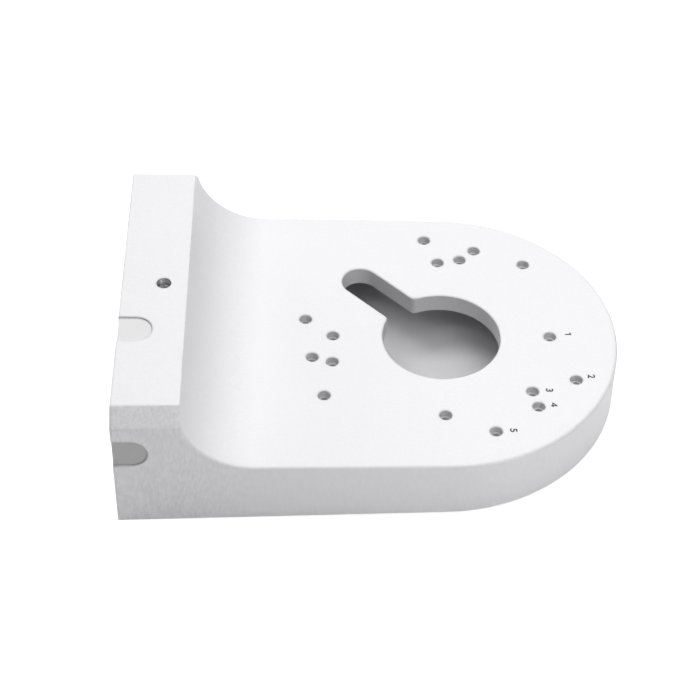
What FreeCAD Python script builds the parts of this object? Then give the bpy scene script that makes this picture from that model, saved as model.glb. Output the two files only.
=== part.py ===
import FreeCAD, Part
import math
import os

import Sketcher

# An L-shaped wall box for a ceiling or turret camera, lying on its flat outer face.
# Construction frame: x = 0 is the wall face, +X runs to the round end, y = 0 is the middle,
# +Z points out of the camera plate and z = 0 is the foot of the wall face. From there the flat
# outer face slopes gently towards the camera plate. Millimetres and degrees.

# Driving sizes: alias, value and what it measures.
SIZES = (
    ("wall_width", "120", "width across the wall face"),
    ("block_height", "47.7", "height of the wall block"),
    ("shelf_height", "24.2", "height of the camera plate's outer face"),
    ("base_slope", "1.4", "angle between the flat outer face and the camera plate"),
    ("strip_width", "21.5", "flat top of the wall block, from the wall to the ridge"),
    ("side_taper", "0.9", "angle by which each side leans in towards the round end"),
    ("block_chamfer", "5.3", "bevel along the block's two upper corners"),
    ("rim_round", "1", "rounded edge around the camera plate and the cove"),
    ("edge_round", "0.4", "small rounding along the ridge, the bevels and the wall face"),
    ("foot_bevel", "0.4", "small bevel around the flat outer face"),
    ("base_wall", "3", "thickness of the flat outer wall"),
    ("side_wall", "3", "thickness of the side and end walls"),
    ("strip_wall", "3.2", "thickness of the strip on the wall block"),
    ("cove_wall", "3.2", "thickness of the steep wall below the ridge"),
    ("camera_plate", "6.6", "thickness of the camera plate"),
    ("core_bevel", "1.5", "bevel in the corners of the hollow"),
    ("opening_x", "104.5", "centre of the opening and of the round end, from the wall"),
    ("opening_radius", "19.6", "radius of the cable opening"),
    ("opening_bevel", "0.3", "bevelled rim of the keyhole"),
    ("slot_angle", "135", "direction of the keyhole's slot"),
    ("slot_width", "12.5", "width of the slot"),
    ("slot_reach", "37.6", "from the opening's centre to the centre of the slot's end"),
    ("slot_corner", "1.8", "rounded corner between slot and opening"),
    ("hole_radius", "2.1", "mouth of a camera screw hole"),
    ("hole_depth", "2.6", "depth of that mouth"),
    ("pilot_radius", "1.5", "screw hole below the mouth"),
    ("lock_x", "13.65", "locking screw, from the wall"),
    ("lock_radius", "2.4", "threaded hole of the locking screw"),
    ("lock_length", "8", "length of the locking screw"),
    ("lock_recess", "2.2", "how far the locking screw sits below the strip"),
    ("lock_socket", "2.5", "across flats of the hex socket"),
    ("lock_socket_depth", "2.4", "depth of the hex socket"),
    ("lock_chamfer", "0.5", "bevel on both ends of the locking screw"),
    ("thread_gap", "0.05", "between the locking screw and its hole"),
    ("boss_radius", "5.2", "boss under the strip that carries the thread"),
    ("boss_length", "3.3", "how far that boss hangs below the strip wall"),
    ("entry_width", "10.9", "width of a cable entry"),
    ("entry_reach", "11.1", "length of a cable entry, from the wall"),
    ("entry_seat", "1.3", "depth of the wide outer step of an entry"),
    ("entry_step", "1", "width of the step that the plug's groove grips"),
    ("strip_entry_offset", "21.2", "from the middle of the box to the entry in the strip"),
    ("side_entry_z", "31.4", "height of the middle of a side entry"),
    ("plug_recess", "0.45", "how far a plug sits below the surface"),
    ("plug_gap", "0.2", "between a plug and its entry"),
    ("plug_flange", "1.2", "thickness of a plug's inner flange"),
    ("flange_rim", "0.6", "how far that flange reaches past the entry"),
    ("groove_play", "0.05", "play of the entry's step in the plug's groove, on each side"),
    ("sheet", "2", "thickness of the wall plate's steel"),
    ("bend_round", "2.6", "outer radius of a bend in the wall plate"),
    ("plate_corner", "3", "corner radius of the wall plate"),
    ("plate_gap", "0.6", "between the wall plate and the plugs' flanges"),
    ("seat_gap", "0.3", "between the hooks or the tab and what they bear on"),
    ("hook_offset", "36", "middle of each hook, from the middle of the plate"),
    ("hook_width", "14", "width of a hook"),
    ("keeper_width", "22", "length of the rib that each hook catches"),
    ("keeper_height", "2.5", "height of that rib"),
    ("keeper_depth", "2.8", "thickness of that rib"),
    ("tab_width", "14", "width of the tab under the locking screw"),
    ("tab_margin", "4.2", "steel beyond the locking screw's axis"),
    ("tab_hole", "2.7", "radius of the hole in the tab"),
    ("relief_width", "1.5", "width of the slits beside the tab"),
    ("relief_depth", "4.5", "depth of those slits below the tab"),
    ("cable_hole", "10", "radius of the cable hole in the wall plate"),
    ("cable_hole_z", "21.5", "height of that hole"),
    ("wall_screw_y", "84", "distance between the wall screws across the box"),
    ("wall_screw_z", "18", "distance between the wall screws along its height"),
    ("wall_slot_radius", "2.5", "half the width of a wall screw's slot"),
    ("wall_slot_length", "10", "length of a wall screw's slot"),
)

# Rings of camera screw holes about the opening: number, pitch radius, first angle, how many.
CAMERA_RINGS = (
    ("one", "36", "0", "4"),
    ("two", "47.6", "-24.8", "3"),
    ("three", "38.2", "-41.5", "3"),
    ("four", "44", "-46.8", "3"),
    ("five", "45.8", "-69.8", "3"),
)

OVERSHOOT = 5.0
TOUCH = 0.01
NEAR = 0.05
FULL_TURN = 360
CENTRE = FreeCAD.Vector(0, 0, 0)
Z_AXIS = FreeCAD.Vector(0, 0, 1)
NODES = ("housing", "wall_plate", "locking_screw", "strip_entry_plug", "near_entry_plug", "far_entry_plug")

doc = FreeCAD.newDocument("WallBox")
table = doc.addObject("Spreadsheet::Sheet", "Sizes")


def write_size(row, alias, value, meaning):
    """One row of the sheet: what is measured, and its size as a text cell with an alias."""
    table.set("A%d" % row, meaning)
    table.set("B%d" % row, value)
    table.setAlias("B%d" % row, alias)


rows = list(SIZES)
for ring_name, ring_radius, ring_angle, ring_count in CAMERA_RINGS:
    rows.append(("ring_%s_radius" % ring_name, ring_radius, "pitch radius of ring " + ring_name))
    rows.append(("ring_%s_angle" % ring_name, ring_angle, "first hole of ring " + ring_name))
    rows.append(("ring_%s_count" % ring_name, ring_count, "holes in ring " + ring_name))
for row_number, entry in enumerate(rows, 1):
    write_size(row_number, *entry)
doc.recompute()

# Lengths that follow from the driving sizes, as expressions.
TAPER = "Sizes.side_taper * 1 deg"
SLOPE = "Sizes.base_slope * 1 deg"
END_RADIUS = "((Sizes.wall_width / 2 - Sizes.opening_x * tan(%s)) * cos(%s))" % (TAPER, TAPER)
MIDDLE_X = "((Sizes.opening_x + %s) / 2)" % END_RADIUS
COVE_RADIUS = "(Sizes.block_height - Sizes.shelf_height)"
CORE_TOP = "(Sizes.block_height - Sizes.strip_wall)"
CORE_SHELF = "(Sizes.shelf_height - Sizes.camera_plate)"
CORE_RIDGE = "(Sizes.strip_width - Sizes.cove_wall)"
CORE_CORNER = "(Sizes.block_chamfer + (sqrt(2) - 1) * Sizes.side_wall - Sizes.strip_wall)"
THROUGH_PLATE = "(Sizes.camera_plate + (%s - Sizes.base_wall) / 2)" % CORE_SHELF
LOCK_TOP = "(Sizes.block_height - Sizes.lock_recess)"
TAB_Z = "(%s - Sizes.boss_length - Sizes.seat_gap)" % CORE_TOP
TAB_REACH = "(Sizes.lock_x + Sizes.tab_margin)"
HOOK_Z = "(Sizes.base_wall + Sizes.keeper_height + Sizes.seat_gap)"
KEEPER_FRONT = "(Sizes.sheet + Sizes.seat_gap)"
KEEPER_BACK = "(%s + Sizes.keeper_depth)" % KEEPER_FRONT
LIP_X = "(%s + Sizes.seat_gap)" % KEEPER_BACK
ENTRY_RADIUS = "(Sizes.entry_width / 2)"
ENTRY_CENTRE = "(Sizes.entry_reach - %s)" % ENTRY_RADIUS
FLANGE_DEPTH = "(Sizes.plug_flange + Sizes.groove_play + Sizes.plate_gap)"
PLATE_HALF = "(Sizes.wall_width / 2 - Sizes.side_wall - %s)" % FLANGE_DEPTH
PLATE_TOP = "(%s - %s)" % (CORE_TOP, FLANGE_DEPTH)
PLATE_LOW = "(%s + Sizes.bend_round)" % HOOK_Z
PLATE_MIDDLE = "((%s + %s) / 2)" % (PLATE_LOW, PLATE_TOP)
BEND_INSIDE = "(Sizes.bend_round - Sizes.sheet)"


def size(alias):
    """The number in one cell."""
    return float(getattr(table, alias))


def value_of(expression):
    """The number that an expression of the sheet gives, in millimetres or degrees."""
    result = table.evalExpression(expression)
    return float(getattr(result, "Value", result))


# Sketches

def origin_plane(body, role):
    """One of the body's own origin planes."""
    return next(item for item in body.Origin.OriginFeatures if item.Role == role)


def new_sketch(body, name, role, turn=None, **offset):
    """Sketch on one of the body's origin planes, moved by expressions for x, y and z."""
    sketch = body.newObject("Sketcher::SketchObject", name)
    sketch.AttachmentSupport = [(origin_plane(body, role), "")]
    sketch.MapMode = "FlatFace"
    if turn:
        sketch.AttachmentOffset = FreeCAD.Placement(CENTRE, FreeCAD.Rotation(Z_AXIS, FULL_TURN / 4))
        sketch.setExpression("AttachmentOffset.Rotation.Angle", turn)
    for axis, expression in offset.items():
        sketch.setExpression("AttachmentOffset.Base." + axis, expression)
    sketch.Visibility = False
    return sketch


def bind(sketch, kind, places, expression):
    """Add a dimension that follows an expression."""
    dimension = Sketcher.Constraint(kind, *places, value_of(expression))
    index = sketch.addConstraint(dimension)
    sketch.setExpression("Constraints[%d]" % index, expression)


def fix(sketch, point, x, y):
    """Fix a point of the sketch by its distances from the sketch's origin."""
    for kind, expression, other_axis in (("DistanceX", x, -2), ("DistanceY", y, -1)):
        if expression == "0":
            sketch.addConstraint(Sketcher.Constraint("PointOnObject", *point, other_axis))
        else:
            bind(sketch, kind, (-1, 1, *point), expression)


def line(sketch, start, end):
    """Straight line between two points given as numbers."""
    segment = Part.LineSegment(FreeCAD.Vector(*start, 0), FreeCAD.Vector(*end, 0))
    return sketch.addGeometry(segment, False)


def arc(sketch, centre, radius, first, last):
    """Arc given as numbers, counterclockwise between two angles in radians."""
    full = Part.Circle(FreeCAD.Vector(*centre, 0), Z_AXIS, radius)
    return sketch.addGeometry(Part.ArcOfCircle(full, first, last), False)


def join(sketch, kind, *ends):
    """Join the end of one piece of outline to the start of the next."""
    for (one, one_end), (other, other_end) in ends:
        sketch.addConstraint(Sketcher.Constraint(kind, one, one_end, other, other_end))


def polygon(sketch, corners):
    """Closed polygon whose corners are pairs of expressions."""
    points = [(value_of(x), value_of(y)) for x, y in corners]
    count = len(points)
    lines = [line(sketch, points[i], points[(i + 1) % count]) for i in range(count)]
    for i in range(count):
        join(sketch, "Coincident", ((lines[i], 2), (lines[(i + 1) % count], 1)))
        fix(sketch, (lines[i], 1), *corners[i])


def circle(sketch, radius, x="0", y="0"):
    """Circle whose radius and centre are expressions."""
    centre = FreeCAD.Vector(value_of(x), value_of(y), 0)
    index = sketch.addGeometry(Part.Circle(centre, Z_AXIS, value_of(radius)), False)
    bind(sketch, "Radius", (index,), radius)
    fix(sketch, (index, 3), x, y)


def tongue(sketch, start, centre, radius):
    """Strip along the sketch's x axis with a round end, from start to a half circle at centre."""
    x0, x1, r = value_of(start), value_of(centre), value_of(radius)
    low = line(sketch, (x0, -r), (x1, -r))
    bow = arc(sketch, (x1, 0), r, -math.pi / 2, math.pi / 2)
    high = line(sketch, (x1, r), (x0, r))
    back = line(sketch, (x0, r), (x0, -r))
    join(sketch, "Tangent", ((low, 2), (bow, 1)), ((bow, 2), (high, 1)))
    join(sketch, "Coincident", ((high, 2), (back, 1)), ((back, 2), (low, 1)))
    sketch.addConstraint(Sketcher.Constraint("Horizontal", low))
    sketch.addConstraint(Sketcher.Constraint("Horizontal", high))
    sketch.addConstraint(Sketcher.Constraint("Vertical", back))
    fix(sketch, (bow, 3), centre, "0")
    bind(sketch, "Radius", (bow,), radius)
    if start == "0":
        sketch.addConstraint(Sketcher.Constraint("PointOnObject", back, 1, -2))
    else:
        bind(sketch, "DistanceX", (-1, 1, back, 1), start)


def slot(sketch, x, y, half_length, radius):
    """Slot along the sketch's x axis with two round ends, about a point given by expressions."""
    middle_x, middle_y = value_of(x), value_of(y)
    reach, r = value_of(half_length) - value_of(radius), value_of(radius)
    quarter = math.pi / 2
    low = line(sketch, (middle_x - reach, middle_y - r), (middle_x + reach, middle_y - r))
    right = arc(sketch, (middle_x + reach, middle_y), r, -quarter, quarter)
    high = line(sketch, (middle_x + reach, middle_y + r), (middle_x - reach, middle_y + r))
    left = arc(sketch, (middle_x - reach, middle_y), r, quarter, 3 * quarter)
    join(sketch, "Tangent", ((low, 2), (right, 1)), ((right, 2), (high, 1)),
         ((high, 2), (left, 1)), ((left, 2), (low, 1)))
    bind(sketch, "Radius", (right,), radius)
    fix(sketch, (right, 3), "%s + %s - %s" % (x, half_length, radius), y)
    fix(sketch, (left, 3), "%s - %s + %s" % (x, half_length, radius), y)


# Features

def add_feature(body, kind, name, sketch, length, backwards, both):
    """Pad or pocket of a sketch by an expression, or through everything where length is None."""
    feature = body.newObject("PartDesign::" + kind, name)
    feature.Profile = sketch
    feature.Reversed = backwards
    if both:
        feature.SideType = "Symmetric"
    if length is None:
        feature.Type = "ThroughAll"
    else:
        feature.setExpression("Length", length)
    body.Tip = feature
    doc.recompute()


def pad(body, name, sketch, length, backwards=False, both=False):
    """Add material."""
    add_feature(body, "Pad", name, sketch, length, backwards, both)


def must_shrink(body, before, name):
    """Stop where a cut took nothing away."""
    if not body.Shape.Volume < before - TOUCH:
        raise RuntimeError(name + " cuts nothing")


def pocket(body, name, sketch, length, backwards=False, both=False):
    """Remove material, and make sure that some was there."""
    before = body.Shape.Volume
    add_feature(body, "Pocket", name, sketch, length, backwards, both)
    must_shrink(body, before, name)


def dress(body, kind, name, expression, test):
    """Fillet or chamfer on the edges whose middle and ends pass a test."""
    base = body.Tip
    names = []
    for number, edge in enumerate(base.Shape.Edges, 1):
        middle = edge.valueAt((edge.FirstParameter + edge.LastParameter) / 2)
        if test(middle, [vertex.Point for vertex in edge.Vertexes]):
            names.append("Edge%d" % number)
    if not names:
        raise RuntimeError(name + " finds no edge")
    feature = body.newObject("PartDesign::" + kind, name)
    feature.Base = (base, names)
    feature.setExpression("Radius" if kind == "Fillet" else "Size", expression)
    body.Tip = feature
    doc.recompute()
    if "Invalid" in feature.State:
        raise RuntimeError(name + " failed")


def upright_at(*places):
    """Test for edges along Z that stand at one of these points in plan."""
    def test(middle, ends):
        upright = math.hypot(ends[0].x - ends[-1].x, ends[0].y - ends[-1].y) < TOUCH
        return upright and any(math.hypot(middle.x - x, middle.y - y) < NEAR for x, y in places)
    return test


def bend_at(*places):
    """Test for edges along Y that lie at one of these points in side view."""
    def test(middle, ends):
        level = math.hypot(ends[0].x - ends[-1].x, ends[0].z - ends[-1].z) < TOUCH
        return level and any(math.hypot(middle.x - x, middle.z - z) < NEAR for x, z in places)
    return test


# The bracket's form, used once for the outside and once for the hollow

def sloped(height, x):
    """Height at x of a face along the flat outer face, where it is known at the wall."""
    return "(%s + %s * tan(%s))" % (height, x, SLOPE)


def bracket_form(name, start, base, top, ridge, shelf, inset):
    """L-shaped form with leaning sides, a round end, a cove and a sloping foot, by expressions."""
    body = doc.addObject("PartDesign::Body", name)
    centre_x, lean = size("opening_x"), math.radians(size("side_taper"))
    quarter = math.pi / 2

    # Plan: a straight side at the wall and two leaning sides tangent to the round end
    low = "((%s) - %g)" % (base, OVERSHOOT)
    plan = new_sketch(body, name + "_plan", "XY_Plane", z=low)
    spread = "(Sizes.wall_width / 2 - (%s) / cos(%s) - (%s) * tan(%s))" % (inset, TAPER, start, TAPER)
    x0, half, radius = value_of(start), value_of(spread), value_of(END_RADIUS) - value_of(inset)
    tangent_x, tangent_y = centre_x + radius * math.sin(lean), radius * math.cos(lean)
    wall = line(plan, (x0, half), (x0, -half))
    near = line(plan, (x0, -half), (tangent_x, -tangent_y))
    bow = arc(plan, (centre_x, 0), radius, lean - quarter, quarter - lean)
    far = line(plan, (tangent_x, tangent_y), (x0, half))
    join(plan, "Coincident", ((wall, 2), (near, 1)), ((far, 2), (wall, 1)))
    join(plan, "Tangent", ((near, 2), (bow, 1)), ((bow, 2), (far, 1)))
    plan.addConstraint(Sketcher.Constraint("Vertical", wall))
    fix(plan, (bow, 3), "Sizes.opening_x", "0")
    fix(plan, (wall, 1), start, spread)
    bind(plan, "DistanceY", (wall, 2, -1, 1), spread)
    pad(body, name + "_block", plan, "%s - %s" % (top, low))

    # Side view: what is cut away below the flat outer face, which passes through the foot
    beyond = "(2 * Sizes.opening_x)"
    before_wall = "(%s - %g)" % (start, OVERSHOOT)
    below = "(%s - %g)" % (low, OVERSHOOT)
    foot = new_sketch(body, name + "_foot_side", "XZ_Plane")
    polygon(foot, ((before_wall, below), (beyond, below), (beyond, sloped(base, beyond)),
                   (before_wall, sloped(base, before_wall))))
    pocket(body, name + "_slope", foot, None, both=True)

    # Side view: what is cut away above the camera plate, with the cove as a quarter circle
    side = new_sketch(body, name + "_side", "XZ_Plane")
    above = "(Sizes.block_height + %g)" % OVERSHOOT
    cove, ridge_x, shelf_z = value_of(COVE_RADIUS), value_of(ridge), value_of(shelf)
    far_x, above_z = value_of(beyond), value_of(above)
    drop = line(side, (ridge_x, above_z), (ridge_x, shelf_z + cove))
    cove_arc = arc(side, (ridge_x + cove, shelf_z + cove), cove, math.pi, 3 * quarter)
    flat = line(side, (ridge_x + cove, shelf_z), (far_x, shelf_z))
    rise = line(side, (far_x, shelf_z), (far_x, above_z))
    lid = line(side, (far_x, above_z), (ridge_x, above_z))
    join(side, "Tangent", ((drop, 2), (cove_arc, 1)), ((cove_arc, 2), (flat, 1)))
    join(side, "Coincident", ((flat, 2), (rise, 1)), ((rise, 2), (lid, 1)), ((lid, 2), (drop, 1)))
    for upright in (drop, rise):
        side.addConstraint(Sketcher.Constraint("Vertical", upright))
    for level in (flat, lid):
        side.addConstraint(Sketcher.Constraint("Horizontal", level))
    bind(side, "Radius", (cove_arc,), COVE_RADIUS)
    bind(side, "DistanceX", (-1, 1, drop, 1), ridge)
    bind(side, "DistanceY", (-1, 1, flat, 2), shelf)
    fix(side, (lid, 1), beyond, above)
    pocket(body, name + "_cove", side, None, both=True)
    return body


def on_side(point, inset):
    """True where a point lies on the sides or the round end of a form with this inset."""
    lean = math.radians(size("side_taper"))
    if point.x > size("opening_x"):
        reach = math.hypot(point.x - size("opening_x"), point.y)
        gap = reach - value_of(END_RADIUS) + inset
    else:
        gap = abs(point.y) - size("wall_width") / 2 + point.x * math.tan(lean) + inset / math.cos(lean)
    return abs(gap) < NEAR


def block_corners(top):
    """Test for the two long upper corners of the block."""
    def test(middle, ends):
        lengthwise = abs(ends[0].x - ends[-1].x) > size("strip_width") / 2
        return lengthwise and all(abs(point.z - top) < TOUCH for point in ends)
    return test


def plate_outline(ridge, shelf, inset):
    """Test for the sharp edge around the camera plate and up both sides of the cove."""
    def test(middle, ends):
        outside = all(on_side(point, inset) for point in ends + [middle])
        return outside and middle.x > ridge and middle.z > shelf - TOUCH
    return test


def foot_outline(base):
    """Test for the edges around a sloping foot, away from the wall side."""
    rise = math.tan(math.radians(size("base_slope")))

    def test(middle, ends):
        gaps = [abs(point.z - base - point.x * rise) for point in ends + [middle]]
        return middle.x > TOUCH and max(gaps) < TOUCH
    return test


def block_crest(middle, ends):
    """Test for the ridge and the edges of the two bevels."""
    lowest = size("block_height") - size("block_chamfer") - size("edge_round")
    near_block = TOUCH < middle.x < size("strip_width") + size("rim_round")
    return near_block and min(point.z for point in ends + [middle]) > lowest


def wall_outline(middle, ends):
    """Test for the edges around the wall face, up both sides and along the strip."""
    return abs(middle.x) < TOUCH and middle.z > size("foot_bevel") + TOUCH


# Outside of the housing

outer = bracket_form("outer", "0", "0", "Sizes.block_height", "Sizes.strip_width",
                     "Sizes.shelf_height", "0")
dress(outer, "Chamfer", "outer_corners", "Sizes.block_chamfer", block_corners(size("block_height")))
dress(outer, "Fillet", "outer_rim", "Sizes.rim_round",
      plate_outline(size("strip_width"), size("shelf_height"), 0))
dress(outer, "Fillet", "outer_crest", "Sizes.edge_round", block_crest)
dress(outer, "Chamfer", "outer_foot", "Sizes.foot_bevel", foot_outline(0))
dress(outer, "Fillet", "outer_wall", "Sizes.edge_round", wall_outline)

# Keyhole: a round opening with a slot that runs out of it
at_opening = {"x": "Sizes.opening_x", "z": "Sizes.shelf_height"}
opening_sketch = new_sketch(outer, "opening_sketch", "XY_Plane", "Sizes.slot_angle", **at_opening)
circle(opening_sketch, "Sizes.opening_radius")
pocket(outer, "opening", opening_sketch, THROUGH_PLATE)
slot_sketch = new_sketch(outer, "slot_sketch", "XY_Plane", "Sizes.slot_angle", **at_opening)
tongue(slot_sketch, "0", "Sizes.slot_reach", "(Sizes.slot_width / 2)")
pocket(outer, "opening_slot", slot_sketch, THROUGH_PLATE)

slot_spread = math.degrees(math.asin(size("slot_width") / 2 / size("opening_radius")))
corner_angles = [math.radians(size("slot_angle") + turn) for turn in (-slot_spread, slot_spread)]
corner_places = [(size("opening_x") + size("opening_radius") * math.cos(angle),
                  size("opening_radius") * math.sin(angle)) for angle in corner_angles]
dress(outer, "Fillet", "slot_corners", "Sizes.slot_corner", upright_at(*corner_places))


def keyhole_rim(middle, ends):
    """Test for the keyhole's edge on the camera plate."""
    reach = math.hypot(middle.x - size("opening_x"), middle.y)
    inside = reach < size("slot_reach") + size("slot_width") / 2 + NEAR
    return inside and all(abs(point.z - size("shelf_height")) < TOUCH for point in ends + [middle])


dress(outer, "Chamfer", "keyhole_rim", "Sizes.opening_bevel", keyhole_rim)


def screw_ring(name):
    """Ring of camera screw holes about the opening: a wide mouth over a narrower hole."""
    ring = new_sketch(outer, "ring_%s_sketch" % name, "XY_Plane", "Sizes.ring_%s_angle" % name,
                      **at_opening)
    circle(ring, "Sizes.pilot_radius", "Sizes.ring_%s_radius" % name)
    doc.recompute()
    hole = outer.newObject("PartDesign::Hole", "ring_%s_hole" % name)
    hole.Profile = ring
    hole.DepthType = "Dimension"
    hole.DrillPoint = "Flat"
    hole.HoleCutType = "Counterbore"
    hole.HoleCutCustomValues = True
    hole.setExpression("Diameter", "2 * Sizes.pilot_radius")
    hole.setExpression("Depth", THROUGH_PLATE)
    hole.setExpression("HoleCutDiameter", "2 * Sizes.hole_radius")
    hole.setExpression("HoleCutDepth", "Sizes.hole_depth")
    outer.Tip = hole
    doc.recompute()
    before = outer.Shape.Volume
    pattern = outer.newObject("PartDesign::PolarPattern", "ring_" + name)
    pattern.Originals = [hole]
    pattern.Axis = (ring, ["N_Axis"])
    pattern.Angle = FULL_TURN
    pattern.setExpression("Occurrences", "Sizes.ring_%s_count" % name)
    outer.Tip = pattern
    doc.recompute()
    must_shrink(outer, before, pattern.Name)


for ring_name, _, _, _ in CAMERA_RINGS:
    screw_ring(ring_name)

# Threaded hole of the locking screw, through the strip and its boss
lock_sketch = new_sketch(outer, "lock_sketch", "XY_Plane", z="Sizes.block_height")
circle(lock_sketch, "Sizes.lock_radius", "Sizes.lock_x")
pocket(outer, "lock_hole", lock_sketch, "Sizes.strip_wall + Sizes.boss_length + Sizes.sheet")

# Hollow: the same form set in by each wall and open to the wall side
core = bracket_form("core", "-%g" % OVERSHOOT, "Sizes.base_wall", CORE_TOP, CORE_RIDGE,
                    CORE_SHELF, "Sizes.side_wall")
dress(core, "Chamfer", "core_corners", CORE_CORNER, block_corners(value_of(CORE_TOP)))
dress(core, "Chamfer", "core_rim", "Sizes.core_bevel",
      plate_outline(value_of(CORE_RIDGE), value_of(CORE_SHELF), size("side_wall")))
dress(core, "Chamfer", "core_foot", "Sizes.core_bevel", foot_outline(size("base_wall")))

# Metal left standing in the hollow: the boss for the thread and a rib for each hook
boss_sketch = new_sketch(core, "boss_sketch", "XY_Plane", z=CORE_TOP)
circle(boss_sketch, "Sizes.boss_radius", "Sizes.lock_x")
pocket(core, "boss", boss_sketch, "Sizes.boss_length")
keeper_sketch = new_sketch(core, "keeper_sketch", "XY_Plane", z="Sizes.base_wall")
for hook_side in ("Sizes.hook_offset", "-Sizes.hook_offset"):
    low_end = "(%s - Sizes.keeper_width / 2)" % hook_side
    high_end = "(%s + Sizes.keeper_width / 2)" % hook_side
    polygon(keeper_sketch, ((KEEPER_FRONT, low_end), (KEEPER_BACK, low_end),
                            (KEEPER_BACK, high_end), (KEEPER_FRONT, high_end)))
pocket(core, "keepers", keeper_sketch, "Sizes.keeper_height", backwards=True)


# Cable entries and plugs, each in a frame of its own: x runs into the entry, z points outwards

def entry_tool(name, wall):
    """What is cut out for one entry: a wide outer step and a narrower way through the wall."""
    body = doc.addObject("PartDesign::Body", name)
    step = new_sketch(body, name + "_step", "XY_Plane", z="-Sizes.entry_seat")
    tongue(step, "-%g" % OVERSHOOT, ENTRY_CENTRE, ENTRY_RADIUS)
    pad(body, name + "_wide", step, "Sizes.entry_seat + %g" % OVERSHOOT)
    way = new_sketch(body, name + "_way", "XY_Plane")
    tongue(way, "-%g" % OVERSHOOT, ENTRY_CENTRE, "(%s - Sizes.entry_step)" % ENTRY_RADIUS)
    pad(body, name + "_narrow", way, "%s + Sizes.entry_seat" % wall, backwards=True)
    return body


def entry_plug(name, wall):
    """Plug that slides into an entry: outer lip, neck in the step, inner flange."""
    body = doc.addObject("PartDesign::Body", name)
    lip = new_sketch(body, name + "_lip", "XY_Plane", z="-Sizes.plug_recess")
    tongue(lip, "Sizes.plug_gap", ENTRY_CENTRE, "(%s - Sizes.plug_gap)" % ENTRY_RADIUS)
    pad(body, name + "_face", lip, "Sizes.entry_seat - Sizes.plug_recess - Sizes.groove_play",
        backwards=True)
    neck = new_sketch(body, name + "_neck", "XY_Plane", z="-Sizes.plug_recess")
    tongue(neck, "Sizes.plug_gap", ENTRY_CENTRE,
           "(%s - Sizes.entry_step - Sizes.plug_gap)" % ENTRY_RADIUS)
    pad(body, name + "_core", neck,
        "%s - Sizes.plug_recess + Sizes.groove_play + Sizes.plug_flange" % wall, backwards=True)
    flange = new_sketch(body, name + "_flange", "XY_Plane", z="-(%s + Sizes.groove_play)" % wall)
    tongue(flange, "Sizes.plug_gap", ENTRY_CENTRE, "(%s + Sizes.flange_rim)" % ENTRY_RADIUS)
    pad(body, name + "_back", flange, "Sizes.plug_flange", backwards=True)
    return body


# Where each entry is: shift along y, height, turn, and the wall that it goes through
ENTRIES = (
    ("strip", "-Sizes.strip_entry_offset", "Sizes.block_height", "rotationx(0 deg)", "Sizes.strip_wall"),
    ("near", "-Sizes.wall_width / 2", "Sizes.side_entry_z",
     "rotationz(%s) * rotationx(90 deg)" % TAPER, "Sizes.side_wall"),
    ("far", "Sizes.wall_width / 2", "Sizes.side_entry_z",
     "rotationz(-%s) * rotationx(-90 deg)" % TAPER, "Sizes.side_wall"),
)


def put(item, x="0", y="0", z="0", turn="rotationx(0 deg)"):
    """Place an object by expressions."""
    item.setExpression("Placement", "placement(vector(%s; %s; %s); %s)" % (x, y, z, turn))


hollow_parts = [core]
plugs = []
for entry_name, entry_y, entry_z, entry_turn, entry_wall in ENTRIES:
    tool = entry_tool(entry_name + "_entry", entry_wall)
    put(tool, y=entry_y, z=entry_z, turn=entry_turn)
    hollow_parts.append(tool)
    plug = entry_plug(entry_name + "_entry_plug", entry_wall)
    put(plug, "-" + MIDDLE_X, entry_y, entry_z, entry_turn)
    plugs.append(plug)

hollow = doc.addObject("Part::MultiFuse", "hollow")
hollow.Shapes = hollow_parts
housing = doc.addObject("Part::Cut", "housing")
housing.Base = outer
housing.Tool = hollow
put(housing, "-" + MIDDLE_X)


# Wall plate: a folded sheet with two hooks at one long edge and a tab at the other

wall_plate = doc.addObject("PartDesign::Body", "wall_plate")
put(wall_plate, "-" + MIDDLE_X)
blank = new_sketch(wall_plate, "blank", "YZ_Plane")
minus_half = "-" + PLATE_HALF
polygon(blank, ((minus_half, PLATE_LOW), (PLATE_HALF, PLATE_LOW),
                (PLATE_HALF, PLATE_TOP), (minus_half, PLATE_TOP)))
pad(wall_plate, "plate", blank, "Sizes.sheet")


def plate_corners(middle, ends):
    """Test for the four corners of the plate, through its thickness."""
    across = abs(ends[0].x - ends[-1].x) > size("sheet") / 2
    return across and abs(abs(middle.y) - value_of(PLATE_HALF)) < NEAR


dress(wall_plate, "Fillet", "plate_corners", "Sizes.plate_corner", plate_corners)

relief = new_sketch(wall_plate, "relief", "YZ_Plane")
relief_half = "(Sizes.tab_width / 2 + Sizes.relief_width)"
relief_foot = "(%s - Sizes.relief_depth)" % TAB_Z
relief_head = "(%s + %g)" % (PLATE_TOP, OVERSHOOT)
polygon(relief, (("-" + relief_half, relief_foot), (relief_half, relief_foot),
                 (relief_half, relief_head), ("-" + relief_half, relief_head)))
pocket(wall_plate, "relief_cut", relief, None, backwards=True)

# Tab that the locking screw passes into
tab_foot = "(%s - Sizes.sheet)" % relief_foot
tab_under = "(%s - Sizes.sheet)" % TAB_Z
tab_side = new_sketch(wall_plate, "tab_side", "XZ_Plane")
polygon(tab_side, (("0", tab_foot), ("Sizes.sheet", tab_foot), ("Sizes.sheet", tab_under),
                   (TAB_REACH, tab_under), (TAB_REACH, TAB_Z), ("0", TAB_Z)))
pad(wall_plate, "tab", tab_side, "Sizes.tab_width", both=True)
dress(wall_plate, "Fillet", "tab_bend", "Sizes.bend_round", bend_at((0, value_of(TAB_Z))))
dress(wall_plate, "Fillet", "tab_bend_inside", BEND_INSIDE,
      bend_at((size("sheet"), value_of(tab_under))))
tab_sketch = new_sketch(wall_plate, "tab_sketch", "XY_Plane", z=TAB_Z)
circle(tab_sketch, "Sizes.tab_hole", "Sizes.lock_x")
pocket(wall_plate, "tab_hole", tab_sketch, "2 * Sizes.sheet")

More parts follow.
